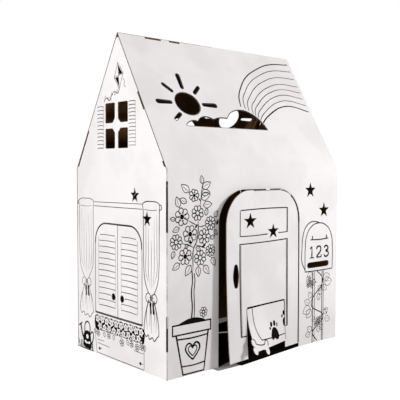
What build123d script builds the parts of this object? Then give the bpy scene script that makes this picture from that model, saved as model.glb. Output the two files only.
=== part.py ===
from build123d import *
from math import cos, hypot, radians, sin
import os

os.makedirs("parts", exist_ok=True)

# Cardboard playhouse, folded from two alike sheets of corrugated board and glued
# Millimetres, +Z up. The house is worked out with its middle under the ridge at the origin
# The front sheet is the door wall at -Y, the shuttered gable wall at -X and the front slope
# The rear sheet is the same cut, turned half a turn about the vertical

# House, over the outside of the board
length = 916.0
depth = 585.0
eave = 721.0
ridge = 1219.0
board = 4.0
glue_line = 0.2
kerf = 3.0
bend_radius = 3.0
fold_inset = 0.3

# Door, seen from in front of the door wall
door_left = -222.0
door_hinge = 218.0
door_top = 644.0
door_corner = 127.0
leaf_foot = 16.0
leaf_rise = 7.0
ajar_head = 38.0
ajar_foot = 60.0

# Pet flap in the foot of the door
pet_left = -114.0
pet_right = 124.0
pet_top = 208.0
pet_foot = 47.0
pet_corner_rise = 8.0
curl_left = 50.0
curl_right = 6.0
bone_lobe = 12.5

# Shuttered window in the gable wall, seen from outside that wall
window_left = -156.0
window_right = 148.0
window_foot = 165.0
window_top = 513.0
window_corner = 72.0
shutter_cut = -4.0
finger_hole = 25.0
finger_hole_height = 27.0

# Attic window of four panes
attic_x = -8.0
attic_z = 879.5
attic_width = 147.0
attic_height = 169.0
glazing_bar = 20.0
pane_chamfer = 16.0
pane_corner = 5.0

# Flaps that join the panels
flap_width = 45.0
flap_set_back = 30.0
ridge_flap_width = 40.0
ridge_flap_from = -396.0
ridge_flap_to = -8.0

# Sun and cloud in the roof, with distances down the slope from the ridge
sun_x = -250.0
sun_down = 300.0
sun_width = 114.0
sun_height = 100.0
ray_width = 16.0
cloud_left = -295.0
cloud_right = 125.0
cloud_down = 398.0
cloud_height = 87.0
rear_roof_drop = 14.0

# Mail slot in the door wall
mail_x = 337.0
mail_z = 325.0
mail_width = 138.0
mail_height = 24.0

# Hand hole and bone tab of the door
handle_x = -169.0
handle_z = 331.0
handle_width = 33.0
handle_height = 88.0
bone_x = -73.5
bone_z = 64.0
bone_length = 79.0
bone_shaft = 18.0

run = depth / 2
rise = ridge - eave
slope = hypot(run, rise)
sin_pitch = rise / slope
cos_pitch = run / slope
lap = board + glue_line
wall_y = -depth / 2
gable_x = -length / 2

# Planes of the panels with the outside up. Places on them are (x, z) on the door wall,
# (-y, z) on the gable and (x, distance up from the ridge) on the roof, which is negative
wall_plane = Plane(origin=(0, wall_y, 0), x_dir=(1, 0, 0), z_dir=(0, -1, 0))
gable_plane = Plane(origin=(gable_x, 0, 0), x_dir=(0, -1, 0), z_dir=(-1, 0, 0))
roof_plane = Plane(origin=(0, 0, ridge), x_dir=(1, 0, 0), z_dir=(0, -sin_pitch, cos_pitch))
rear_plane = Plane(origin=(0, 0, ridge), x_dir=(-1, 0, 0), z_dir=(0, sin_pitch, cos_pitch))


def under(front_gap, rear_gap):
    """Point of the Y-Z section that lies this far inside the front and the rear slope."""
    y = (front_gap - rear_gap) / (2 * sin_pitch)
    z = ridge - (front_gap + rear_gap) / (2 * cos_pitch)
    return (y, z)


def polygon(*points):
    return make_face(Polyline(*points, close=True))


def rectangle(left, right, foot, top):
    return Pos((left + right) / 2, (foot + top) / 2) * Rectangle(abs(right - left), abs(top - foot))


def arch(left, right, foot, top, corner):
    """Rectangle with rounded top corners."""
    blank = rectangle(left, right, foot, top)
    return fillet(blank.vertices().group_by(Axis.Y)[-1], corner)


def star(x, z, width, height):
    """Five-pointed star of this overall width and height."""
    reach = width / (2 * sin(radians(72)))
    stretch = height / (reach * (1 + cos(radians(36))))
    points = []
    for corner in range(10):
        radius = reach if corner % 2 == 0 else 0.4 * reach
        angle = radians(90 + 36 * corner)
        points.append((x + radius * cos(angle), z + stretch * radius * sin(angle)))
    return polygon(*points)


def tapered_slot(start, start_width, end, end_width):
    """Slot with round ends of two widths."""
    head = Pos(*start) * Circle(start_width / 2)
    tail = Pos(*end) * Circle(end_width / 2)
    return make_hull(head.edges() + tail.edges())


def strip(points, x_from, x_to):
    """Board with this Y-Z section, running along X."""
    return extrude(Plane.YZ.offset(x_from) * polygon(*points), x_to - x_from)


def panel(plane, outline, sink=0.0):
    """Flat board whose outer face lies this far under the plane."""
    return extrude(plane.offset(-sink) * outline, -board)


def through(plane, outline):
    """Cutter that passes through the board of one panel."""
    return extrude(plane * outline, 2 * board, both=True)


# Wall and roof: one strip with the eave fold between them, the roof's ridge end and its flap
def wall_and_roof():
    inner_y = wall_y + board
    inner_eave = ridge - board / cos_pitch + inner_y * sin_pitch / cos_pitch
    outside = [(wall_y, 0), (wall_y, eave), under(0, lap)]
    inside = [under(board, lap), (inner_y, inner_eave), (inner_y, 0)]
    sheet = strip(outside + inside, gable_x, -gable_x)

    # Right of the middle the panel runs on to a square end over the other sheet's fold
    set_back = board * (sin_pitch**2 - cos_pitch**2) / (2 * sin_pitch * cos_pitch)
    square_end = (-set_back * cos_pitch, ridge - set_back * sin_pitch)
    sheet += strip([under(0, 2 * lap), square_end, under(board, 0), under(board, 2 * lap)], 0.5, -gable_x)

    # Left of the middle the ridge flap turns down inside the other sheet's slope
    fold_out = under(0, lap)
    fold_in = under(board, lap + board)
    tip_out = (fold_out[0] + ridge_flap_width * cos_pitch, fold_out[1] - ridge_flap_width * sin_pitch)
    tip_in = (tip_out[0] - board * sin_pitch, tip_out[1] - board * cos_pitch)
    flap = strip([fold_out, tip_out, tip_in, fold_in], ridge_flap_from, ridge_flap_to)
    for x, turn in ((ridge_flap_from, 1), (ridge_flap_to, -1)):
        low = -2 * ridge_flap_width
        clip = polygon((-x, -3 * lap), (-x, low), (-x - turn * 4 * board, low))
        flap -= through(rear_plane.offset(-lap), clip)
    return sheet + flap


# Gable wall with its glue flap and the two rake flaps under the slopes
def gable():
    rear_y = -wall_y - lap
    apex_y, apex_z = under(lap, lap)
    cut_z = apex_z - 3 * board
    cut_y = 3 * board * cos_pitch / sin_pitch
    front_z = apex_z + wall_y * sin_pitch / cos_pitch
    rear_z = apex_z - rear_y * sin_pitch / cos_pitch
    rakes = [(-wall_y, front_z), (cut_y, cut_z), (-cut_y, cut_z), (-rear_y, rear_z)]
    wall = panel(gable_plane, polygon((-wall_y, 0), *rakes, (-rear_y, 0)))

    low, high = -slope + flap_set_back, -flap_set_back
    tip_low, tip_high = low + flap_set_back, high - flap_set_back
    side = gable_x
    inner = gable_x + flap_width
    front_flap = polygon((side, low), (inner, tip_low), (inner, tip_high), (side, high))
    rear_flap = polygon((-side, low), (-inner, tip_low), (-inner, tip_high), (-side, high))
    wall += panel(roof_plane, front_flap, lap)
    wall += panel(rear_plane, rear_flap, lap)

    foot, top = flap_set_back / 3, eave - flap_set_back
    glue_flap = polygon((side, foot), (inner, foot + flap_set_back), (inner, top - flap_set_back), (side, top))
    wall += extrude(Plane(origin=(0, rear_y, 0), x_dir=(1, 0, 0), z_dir=(0, -1, 0)) * glue_flap, board)
    return wall


# Slots cut along the folds so that thick board bends sharply, as shares of each fold
def fold_slots():
    cutters = []
    for foot, top in ((0.136, 0.302), (0.7, 0.94)):
        height = (top - foot) * eave
        slot = Box(2.5 * board, 2.5 * board, height)
        cutters.append(Pos(gable_x, wall_y, foot * eave + height / 2) * slot)
    for plane, side, spans in (
        (roof_plane, gable_x, ((0.42, 0.55), (0.02, 0.058))),
        (rear_plane, -gable_x, ((0.02, 0.3),)),
    ):
        for low, high in spans:
            slot = rectangle(side - board, side + board, (low - 1) * slope, (high - 1) * slope)
            cutters.append(extrude(plane.offset(glue_line / 2 - lap) * slot, -1.5 * board))
    for x_from, x_to in ((-0.369, -0.286), (-0.243, -0.185)):
        y, z = under(board / 2, lap + board / 2)
        slot = Box((x_to - x_from) * length, 2 * board, 4 * board)
        cutters.append(Pos((x_from + x_to) / 2 * length, y, z) * slot)
    return cutters


# Cut-outs of the roof: a sun with six rays, and the cloud that is the skylight
def sun():
    """Disc with rays whose ends lie this many half widths and half heights from its middle."""
    wide, high = sun_width / 2, sun_height / 2
    sketches = [Pos(sun_x, -sun_down) * Ellipse(wide, high)]
    for tip, root, tip_width, root_width in (
        ((-2.42, 0.02), (-1.4, 0.02), 1.0, 0.75),
        ((2.4, 0.02), (1.37, 0.02), 1.05, 0.75),
        ((0.05, 2.54), (0.04, 1.48), 1.1, 0.85),
        ((-1.49, 1.6), (-0.96, 1.06), 0.75, 0.75),
        ((1.49, 1.6), (0.98, 1.06), 0.75, 0.75),
        ((-1.49, -1.44), (-0.98, -0.98), 0.75, 0.75),
    ):
        ends = [(sun_x + x * wide, y * high - sun_down) for x, y in (tip, root)]
        sketches.append(tapered_slot(ends[0], tip_width * ray_width, ends[1], root_width * ray_width))
    return sketches


def cloud():
    """Flat-footed cloud of four lobes, as shares of its width and height."""
    width = cloud_right - cloud_left

    def place(across, up):
        return (cloud_left + across * width, up * cloud_height - cloud_down)

    base = Line(place(1, 0), place(0, 0))
    small_lobe = ThreePointArc(place(0, 0), place(0.064, 0.23), place(0.15, 0.241))
    second_lobe = ThreePointArc(place(0.15, 0.241), place(0.255, 0.506), place(0.345, 0.379))
    third_lobe = ThreePointArc(place(0.345, 0.379), place(0.429, 0.494), place(0.524, 0.494))
    dome_left = ThreePointArc(place(0.524, 0.494), place(0.612, 0.851), place(0.726, 1))
    dome_right = ThreePointArc(place(0.726, 1), place(0.902, 0.736), place(1, 0))
    return make_face([base, small_lobe, second_lobe, third_lobe, dome_left, dome_right])


def roof_cutouts():
    return sun() + [cloud()]


# Cut-outs of the gable: attic panes, stars, and the shutters that hang on their outer sides
def pane(side, level):
    """One pane, with its corner at the crossing of the bars cut off."""
    near_x = attic_x + side * glazing_bar / 2
    far_x = attic_x + side * attic_width / 2
    near_z = attic_z + level * glazing_bar / 2
    far_z = attic_z + level * attic_height / 2
    clip_x = near_x + side * pane_chamfer
    clip_z = near_z + level * pane_chamfer
    outline = polygon((near_x, clip_z), (near_x, far_z), (far_x, far_z), (far_x, near_z), (clip_x, near_z))
    return fillet(outline.vertices(), pane_corner)


def shutters():
    """Cuts round the two shutters, which leave their outer sides as folds."""
    outer = arch(window_left, window_right, window_foot, window_top, window_corner)
    cut = outer - offset(outer, -kerf)
    fold_top = window_top - 1.1 * window_corner
    for x in (window_left, window_right):
        cut -= rectangle(x - 2 * kerf, x + 2 * kerf, window_foot + 1.5 * kerf, fold_top)
    cut += rectangle(shutter_cut - kerf / 2, shutter_cut + kerf / 2, window_foot, window_top - kerf / 2)
    hole = Ellipse(finger_hole / 2, finger_hole_height / 2)
    level = window_foot + 3 * finger_hole
    return [cut] + [Pos(shutter_cut + side * 1.14 * finger_hole, level) * hole for side in (-1, 1)]


def gable_cutouts():
    panes = [pane(side, level) for side in (-1, 1) for level in (-1, 1)]
    width = 0.092 * depth
    stars = [star(0.183 * depth, 0.867 * eave, width, width), star(0.308 * depth, 0.7545 * eave, width, width)]
    return panes + stars + shutters()


# Cut-outs of the door leaf, in places on the closed door
def handle():
    """Long hand hole, a little wider at its middle."""
    x, z = handle_x, handle_z
    side, middle, end = handle_width / 3, handle_width / 2, handle_height / 2
    turn = end - side
    top = ThreePointArc((x - side, z + turn), (x, z + end), (x + side, z + turn))
    right = ThreePointArc((x + side, z + turn), (x + middle, z), (x + side, z - turn))
    foot = ThreePointArc((x + side, z - turn), (x, z - end), (x - side, z - turn))
    left = ThreePointArc((x - side, z - turn), (x - middle, z), (x - side, z + turn))
    return make_face([top, right, foot, left])


def leaf_holes():
    width = door_hinge - door_left
    high_star = star(door_left + 0.305 * width, 0.818 * door_top, 0.166 * width, 0.132 * width)
    low_star = star(door_left + 0.614 * width, 0.747 * door_top, 0.155 * width, 0.127 * width)
    return [handle(), high_star, low_star]


def door_opening():
    return arch(door_left, door_hinge, -2 * board, door_top, door_corner)


def pet_opening():
    return arch(pet_left, pet_right, -2 * board, pet_top, 2 * kerf)


def bone():
    """Bone-shaped tab at the lower left corner of the pet flap."""
    outline = Rectangle(bone_length, bone_shaft)
    for side in (-1, 1):
        for turn in (-1, 1):
            outline += Pos(side * bone_length / 2, turn * 1.04 * bone_lobe) * Circle(bone_lobe)
    return Pos(bone_x, bone_z) * Rot(0, 0, -11.7) * outline


def pet_flap_outline():
    inset = kerf
    left, right = pet_left + inset, pet_right - inset
    top = pet_top + kerf
    return polygon((left, top), (right, top), (right, pet_foot), (left, pet_foot + pet_corner_rise))


# Door ajar: the leaf stands out more at its foot than at its head, so it is a ruled sheet
def leaf_out(x, z):
    """How far the leaf stands in front of the wall at this place on the closed door."""
    low = max(0.0, (door_top - kerf - z) / (door_top - kerf - leaf_foot))
    edge = ajar_head + (ajar_foot - ajar_head) * low**3
    return edge * (door_hinge - x) / (door_hinge - door_left - kerf)


def flap_out(x, z):
    """The same for the pet flap, which also curls outwards at its left."""
    across = (x - pet_left) / (pet_right - pet_left)
    curl = curl_left + (curl_right - curl_left) * across
    drop = max(0.0, (pet_top - z) / (pet_top - pet_foot))
    return leaf_out(x, z) + curl * drop**2


def ruled_board(stands_out, left, right, foot, top, inset):
    """Board ruled between two upright edges that stand out by the given function."""
    levels = [foot + (top - foot) * step / 6 for step in range(7)]
    ends = []
    for x, pinch in ((left, 0.0), (right, inset)):
        front = [(x, wall_y - stands_out(x, z) + pinch, z) for z in levels]
        rear = [(x, wall_y - stands_out(x, z) + board - pinch, z) for z in levels]
        edges = [Spline(*front), Line(front[-1], rear[-1]), Spline(*reversed(rear)), Line(rear[0], front[0])]
        ends.append(Face(Wire(edges)))
    return loft(ends, ruled=True)


def door_ajar():
    free, hinge = door_left + kerf, door_hinge - kerf
    leaf = ruled_board(leaf_out, door_left, door_hinge + kerf / 2, -board, door_top + board, fold_inset)
    outline = offset(door_opening(), -kerf) & rectangle(free, hinge, leaf_foot + leaf_rise, door_top)
    outline += polygon((free, leaf_foot + leaf_rise), (hinge, leaf_foot), (hinge, pet_foot), (free, pet_foot))
    outline += rectangle(hinge - kerf, door_hinge + kerf / 2, leaf_foot, door_top - 1.1 * door_corner)
    for hole in leaf_holes() + [pet_opening()]:
        outline -= hole
    leaf &= extrude(wall_plane.offset(-5 * board) * outline, 3 * ajar_foot)

    flap = ruled_board(flap_out, bone_x - bone_length, pet_right, 0, pet_top + kerf, 0)
    flap &= extrude(wall_plane.offset(-5 * board) * (pet_flap_outline() + bone()), 4 * ajar_foot)
    return leaf + flap


def door_closed():
    """Cuts round the closed door and its pet flap."""
    opening = door_opening()
    cut = opening - offset(opening, -kerf)
    cut -= rectangle(door_hinge - 2 * kerf, door_hinge + kerf, -3 * board, door_top - 1.1 * door_corner)
    cut += rectangle(door_left, door_hinge, -2 * board, leaf_foot)
    flap = pet_flap_outline() & rectangle(pet_left, pet_right, 0, pet_top - kerf)
    cut += rectangle(pet_left, pet_right, -2 * board, pet_top - kerf) - flap
    return [cut] + leaf_holes()


def wall_cutouts():
    mail_slot = Pos(mail_x, mail_z) * SlotOverall(mail_width, mail_height)
    width = 0.072 * length
    high_star = star(0.31 * length, 0.878 * eave, width, 0.93 * width)
    low_star = star(0.4056 * length, 0.7614 * eave, width, 0.93 * width)
    return [high_star, low_star, mail_slot]


def folded_sheet(ajar, roof_drop):
    sheet = wall_and_roof() + gable()

    # The bend of the upright corner is round on the outside
    corner = Pos(gable_x, wall_y) * Rectangle(2 * bend_radius, 2 * bend_radius)
    corner -= Pos(gable_x + bend_radius, wall_y + bend_radius) * Circle(bend_radius)
    sheet -= extrude(corner, eave - 2 * bend_radius)

    for cutter in fold_slots():
        sheet -= cutter
    for outline in roof_cutouts():
        sheet -= through(roof_plane, Pos(0, -roof_drop) * outline)
    for outline in gable_cutouts():
        sheet -= through(gable_plane, outline)
    for outline in wall_cutouts():
        sheet -= through(wall_plane, outline)
    if ajar:
        sheet -= through(wall_plane, door_opening())
        sheet += door_ajar()
    else:
        for outline in door_closed():
            sheet -= through(wall_plane, outline)
    return sheet


front_half = folded_sheet(ajar=True, roof_drop=0)
back_half = Rot(0, 0, 180) * folded_sheet(ajar=False, roof_drop=rear_roof_drop)

# The house moves back by half of what its ajar door and curled flap stand out, so the
# origin is on the floor in the middle of its outline
front_reach = front_half.bounding_box().min.Y
back_reach = back_half.bounding_box().max.Y
middle = Pos(0, -round((front_reach + back_reach) / 2, 1), 0)

for name, sheet in (("front_half", front_half), ("back_half", back_half)):
    placed = middle * sheet
    solids = placed.solids()
    print(name, len(solids), [round(solid.volume / 1000) for solid in solids], placed.bounding_box())
    export_step(solids[0] if len(solids) == 1 else placed, f"parts/{name}.step")
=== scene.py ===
# %% [markdown]
# A child's playhouse is folded from two sheets of white-faced corrugated board, and line
# drawings are printed on the outside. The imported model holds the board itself, with every
# fold and cut-out. This lesson adds what makes it look real: the clay-coated face, the brown
# kraft inside, the printed ink, plain studio light and a camera.

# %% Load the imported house
import random
from math import atan2, cos, hypot, pi, radians, sin, tau

import bmesh
import bpy
from mathutils import Matrix, Vector
from mathutils.bvhtree import BVHTree


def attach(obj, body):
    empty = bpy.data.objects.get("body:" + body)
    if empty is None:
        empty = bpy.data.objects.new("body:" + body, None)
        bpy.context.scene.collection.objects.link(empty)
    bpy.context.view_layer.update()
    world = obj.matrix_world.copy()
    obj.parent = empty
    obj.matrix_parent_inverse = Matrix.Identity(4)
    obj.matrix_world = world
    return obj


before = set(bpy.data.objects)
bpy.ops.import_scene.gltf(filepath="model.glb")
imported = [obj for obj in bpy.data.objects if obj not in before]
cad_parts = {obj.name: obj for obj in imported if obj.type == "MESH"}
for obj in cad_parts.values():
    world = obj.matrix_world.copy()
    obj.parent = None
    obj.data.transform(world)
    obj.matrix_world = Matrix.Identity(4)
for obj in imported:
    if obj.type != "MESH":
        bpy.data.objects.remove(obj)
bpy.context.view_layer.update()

# %% [markdown]
# Every drawing is made flat, in millimetres, and then laid on its panel. A panel needs a rule
# that turns "this far across, this far up" into a place on the house. The alternative, to
# draw straight onto the standing walls, would make each line of a motif hard to read.

# %% Places on the panels, in millimetres
WALL_Y = -245.0
GABLE_X = -458.0
RIDGE_Y = 47.5
RIDGE_Z = 1219.0
RUN = 292.5
RISE = 498.0
SLOPE = hypot(RUN, RISE)
ROOF_OUT = Vector((0, -RISE / SLOPE, RUN / SLOPE))
ROOF_UP = Vector((0, RUN / SLOPE, RISE / SLOPE))
TO_METRES = 0.001


def on_wall(across, up, lift):
    return Vector((across, WALL_Y - lift, up))


def on_gable(across, up, lift):
    return Vector((GABLE_X - lift, RIDGE_Y - across, up))


def on_roof(across, up, lift):
    """Up is measured from the ridge, so it is negative."""
    return Vector((across, RIDGE_Y, RIDGE_Z)) + up * ROOF_UP + lift * ROOF_OUT


# %% [markdown]
# The door stands ajar and is a little twisted, and the pet flap curls away from it. Their
# drawings follow the same two rules as the solid board does.

# %% Places on the ajar door and its flap
HINGE_X = 218.0
LEAF_WIDE = 437.0
LEAF_FOOT = 16.0
LEAF_TOP = 641.0
AJAR_TOP = 38.0
AJAR_FOOT = 60.0
FLAP_LEFT = -114.0
FLAP_RIGHT = 124.0
FLAP_FOOT = 47.0
FLAP_TOP = 208.0
CURL_LEFT = 50.0
CURL_RIGHT = 6.0


def leaf_out(across, up):
    """How far the door stands out of the wall."""
    low = max(0.0, (LEAF_TOP - up) / (LEAF_TOP - LEAF_FOOT))
    return (AJAR_TOP + (AJAR_FOOT - AJAR_TOP) * low**3) * (HINGE_X - across) / LEAF_WIDE


def flap_out(across, up):
    """The same for the pet flap, which curls out most at its lower left corner."""
    curl = CURL_LEFT - (CURL_LEFT - CURL_RIGHT) * (across - FLAP_LEFT) / (FLAP_RIGHT - FLAP_LEFT)
    drop = max(0.0, (FLAP_TOP - up) / (FLAP_TOP - FLAP_FOOT))
    return leaf_out(across, up) + curl * drop**2


def on_leaf(across, up, lift):
    return Vector((across, WALL_Y - leaf_out(across, up) - lift, up))


def on_flap(across, up, lift):
    return Vector((across, WALL_Y - flap_out(across, up) - lift, up))


HALF_TURN = Matrix.Translation((0, 2 * RIDGE_Y, 0)) @ Matrix.Rotation(pi, 4, "Z")

# %% [markdown]
# The rules above are close to the board but not exact, because the solid's mesh has small
# facets. A search tree of each sheet finds the true surface under every point of a drawing,
# so the ink lies on the board without sinking in or floating.

# %% Find the true surface of a sheet
def search_tree(name):
    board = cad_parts[name]
    copy = bmesh.new()
    copy.from_mesh(board.data)
    copy.transform(Matrix.Scale(1 / TO_METRES, 4) @ board.matrix_world)
    tree = BVHTree.FromBMesh(copy)
    copy.free()
    return tree


sheets = {False: search_tree("front_half"), True: search_tree("back_half")}


def on_surface(sheet, guess, outward, lift, reach=3.0):
    """The point at this lift over the sheet, or over the guess where the sheet is cut out."""
    hit = sheet.ray_cast(guess + outward * reach, -outward, 2 * reach)[0]
    return (hit or guess) + outward * lift


# %% [markdown]
# Print is a film of ink. A pen line is a curve with a flat section: the extrude setting gives
# its width, a very small bevel its thickness, and each point's radius the pressure of the
# pen. A field of solid black is a filled flat curve. Both become meshes, are joined, and are
# laid on the panel.

# %% Pen lines and fields
PEN_EXTRUDE = 0.5
PEN_BEVEL = 0.025
FIELD_EXTRUDE = 0.06
LIGHTEST, HEAVIEST = 0.88, 1.12
TIP_PRESSURE = 0.35
LEVEL = pi / 2
pen_hand = random.Random(11)


def new_drawing():
    return {"lines": [], "fields": []}


def line(art, points, width, smooth=True, closed=False, taper=False):
    art["lines"].append((points, width, smooth, closed, taper))


def straight(art, points, width, closed=False):
    line(art, points, width, smooth=False, closed=closed)


def field(art, points, smooth=True):
    art["fields"].append((points, smooth))


def add_spline(data, points, smooth, closed):
    spline = data.splines.new("BEZIER")
    spline.bezier_points.add(len(points) - 1)
    spline.use_cyclic_u = closed
    handle = "AUTO" if smooth else "VECTOR"
    for knot, (across, up) in zip(spline.bezier_points, points):
        knot.co = (across, up, 0)
        knot.handle_left_type = handle
        knot.handle_right_type = handle
    return spline


def add_object(name, data):
    made = bpy.data.objects.new(name, data)
    bpy.context.scene.collection.objects.link(made)
    return made


def mesh_of_curve(data):
    holder = add_object(data.name, data)
    mesh = bpy.data.meshes.new_from_object(holder)
    bpy.data.objects.remove(holder)
    return mesh


def pen_mesh(lines):
    data = bpy.data.curves.new("pen_lines", "CURVE")
    data.dimensions = "3D"
    data.twist_mode = "Z_UP"
    data.extrude = PEN_EXTRUDE
    data.bevel_depth = PEN_BEVEL
    data.bevel_resolution = 0
    data.use_fill_caps = True
    data.resolution_u = 5
    for points, width, smooth, closed, taper in lines:
        spline = add_spline(data, points, smooth, closed)
        last = len(points) - 1
        for count, knot in enumerate(spline.bezier_points):
            pressure = pen_hand.uniform(LIGHTEST, HEAVIEST)
            if taper and count in (0, last) and not closed:
                pressure = TIP_PRESSURE
            knot.radius = width * pressure
            knot.tilt = LEVEL
    return mesh_of_curve(data)


def field_mesh(fields):
    data = bpy.data.curves.new("ink_fields", "CURVE")
    data.dimensions = "2D"
    data.fill_mode = "BOTH"
    data.extrude = FIELD_EXTRUDE
    data.resolution_u = 6
    for points, smooth in fields:
        add_spline(data, points, smooth, True)
    return mesh_of_curve(data)


# %% [markdown]
# A film of ink only bends where it has points. Every edge longer than a set limit is divided
# until the film can follow the curl of the pet flap.

# %% Lay a drawing on a panel
MOST_ROUNDS = 8
WELD = 0.0005
INK_LIFT = 0.1
FLAT_STEP = 400.0


def divide(film, limit):
    for attempt in range(MOST_ROUNDS):
        bmesh.ops.triangulate(film, faces=film.faces)
        long_edges = [edge for edge in film.edges if edge.calc_length() > limit]
        if not long_edges:
            return
        bmesh.ops.subdivide_edges(film, edges=long_edges, cuts=1)


def add_mesh(name, shape, material):
    mesh = bpy.data.meshes.new(name)
    shape.to_mesh(mesh)
    shape.free()
    mesh.materials.append(material)
    print(name, "has", len(mesh.polygons), "faces")
    return add_object(name, mesh)


def lay(art, name, place, turned=False, shift=0.0, limit=FLAT_STEP):
    """Add the ink piece of a drawing, on the front sheet or turned onto the back sheet."""
    film = bmesh.new()
    film.from_mesh(pen_mesh(art["lines"]))
    if art["fields"]:
        film.from_mesh(field_mesh(art["fields"]))
    bmesh.ops.remove_doubles(film, verts=film.verts, dist=WELD)
    divide(film, limit)
    for vert in film.verts:
        across, up, thick = vert.co
        guess = place(across, up + shift, 0.0)
        outward = place(across, up + shift, 1.0) - guess
        if turned:
            guess = HALF_TURN @ guess
            outward = HALF_TURN.to_3x3() @ outward
        vert.co = on_surface(sheets[turned], guess, outward, INK_LIFT + thick) * TO_METRES
    bmesh.ops.recalc_face_normals(film, faces=film.faces)
    piece = add_mesh(name, film, ink)
    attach(piece, "root")


# %% [markdown]
# The motifs are built from a few repeated shapes: rings, petals, leaves and hearts. Each takes
# its middle, its size and its turn, so that a plant is a short list of places.

# %% Repeated shapes
def spot_round(middle, radius, angle, stretch=1.0):
    return (middle[0] + radius * cos(angle), middle[1] + radius * stretch * sin(angle))


def ring(middle, radius, stretch=1.0, count=8):
    return [spot_round(middle, radius, tau * step / count, stretch) for step in range(count)]


def turned_shape(points, middle, angle, size=1.0):
    turn_x = cos(angle) * size
    turn_y = sin(angle) * size
    left, foot = middle
    return [(left + x * turn_x - y * turn_y, foot + x * turn_y + y * turn_x) for x, y in points]


def leaf_shape(art, root, length, angle, width=0.32, weight=2.8, solid=False):
    """Pointed leaf that starts at its root."""
    rim = [(0, 0), (0.3, width * 0.85), (0.62, width * 0.75), (1, 0)]
    rim += [(0.62, -width * 0.75), (0.3, -width * 0.85)]
    outline = turned_shape(rim, root, angle, length)
    if solid:
        field(art, outline)
        return
    vein = turned_shape([(0.05, 0), (0.45, 0.03), (0.8, 0)], root, angle, length)
    line(art, outline[:4], weight)
    line(art, outline[3:] + outline[:1], weight)
    line(art, vein, weight * 0.7, taper=True)


def daisy(art, middle, radius, petals, weight, turn=0.2, eye=False):
    """Flower with a round eye and blunt petals."""
    core = ring(middle, radius * 0.3)
    if eye:
        field(art, core)
    else:
        line(art, core, weight, closed=True)
    wide = sin(pi / petals) * 0.92
    lower = [(0.36, -0.1), (0.75, -wide * 0.8), (1.0, -wide * 0.35)]
    shape = lower + [(x, -y) for x, y in reversed(lower)]
    for petal in range(petals):
        angle = turn + tau * petal / petals
        line(art, turned_shape(shape, middle, angle, radius), weight)


def arch_path(left, right, foot, top, corner, steps=8):
    """Points of an arch, from its left foot over the rounded corners to its right foot."""
    path = [(left, foot)]
    for middle, first in ((left + corner, pi), (right - corner, pi / 2)):
        for step in range(steps + 1):
            angle = first - pi / 2 * step / steps
            path.append(spot_round((middle, top - corner), corner, angle))
    return path + [(right, foot)]


def heart(art, middle, size, weight):
    half = [(0, -0.5), (0.38, -0.12), (0.52, 0.2), (0.3, 0.45), (0.06, 0.32), (0, 0.2)]
    for side in (1, -1):
        path = [(middle[0] + side * x * size, middle[1] + y * size) for x, y in half]
        line(art, path, weight)


# %% [markdown]
# On the door wall a plant stands in a pot on the left, and a mailbox on a post on the right.
# The plant is drawn as daisies among leaves on a thin trunk.

# %% Plant pot
def plant_pot(art):
    straight(art, [(-434, 148), (-434, 183), (-260, 183), (-260, 148)], 7.4, closed=True)
    straight(art, [(-418, 146), (-388, 6), (-292, 6), (-272, 146)], 6.9)
    line(art, [(-414, 133), (-345, 130), (-276, 133)], 5.2)
    line(art, [(-396, 36), (-340, 33), (-288, 36)], 5.0)
    soil = [(-410, 185), (-390, 192), (-365, 199), (-345, 201), (-322, 199), (-300, 193), (-282, 185)]
    field(art, soil, smooth=False)
    heart(art, (-344, 84), 62, 6.4)
    heart(art, (-344, 85), 38, 4.2)


# %% [markdown]
# The plant itself would be slow to draw bloom by bloom. Short tables hold the middles of the
# blooms, the paths of the stems and the roots of the leaves, and a loop draws each one with
# the shapes above. A few small leaves are filled, so that the crown isn't even in tone.

# %% Daisies and leaves
BLOOMS = (
    (-392, 556, 30), (-322, 566, 26), (-262, 528, 24), (-356, 494, 30), (-291, 482, 27),
    (-418, 470, 26), (-378, 418, 28), (-310, 408, 26), (-262, 430, 21), (-338, 628, 21),
)
STEMS = (
    [(-343, 366), (-343, 402), (-341, 440), (-327, 466), (-321, 490), (-319, 518), (-320, 538)],
    [(-309, 592), (-305, 630), (-300, 668)],
    [(-342, 426), (-350, 424)],
    [(-334, 456), (-302, 446), (-283, 439)],
    [(-320, 522), (-345, 532), (-365, 542)],
    [(-318, 518), (-300, 518), (-285, 524)],
    [(-340, 446), (-362, 456), (-392, 464)],
    [(-307, 604), (-313, 613), (-319, 619)],
)
LEAVES = (
    (-300, 668, 30, 1.75), (-300, 652, 44, 0.5), (-304, 636, 40, 0.05), (-306, 616, 46, 0.35),
    (-284, 556, 28, 1.35), (-296, 592, 42, 0.1), (-360, 640, 44, 2.5), (-372, 604, 34, 2.7),
    (-404, 588, 40, 1.9), (-421, 548, 24, 3.0), (-404, 518, 32, 3.5), (-244, 549, 28, 0.9),
    (-244, 503, 24, -0.9), (-262, 472, 24, 0.5), (-256, 406, 36, -1.1), (-294, 380, 42, -0.9),
    (-320, 379, 38, -1.5), (-352, 386, 44, -2.2), (-402, 396, 38, -2.6), (-426, 440, 28, -2.0),
    (-366, 460, 20, -2.3), (-330, 446, 26, -0.5),
)
DARK_LEAVES = ((-333, 514, 16, 0.9), (-352, 458, 18, 1.9), (-300, 446, 16, 0.4), (-232, 520, 20, 1.2))


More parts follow.
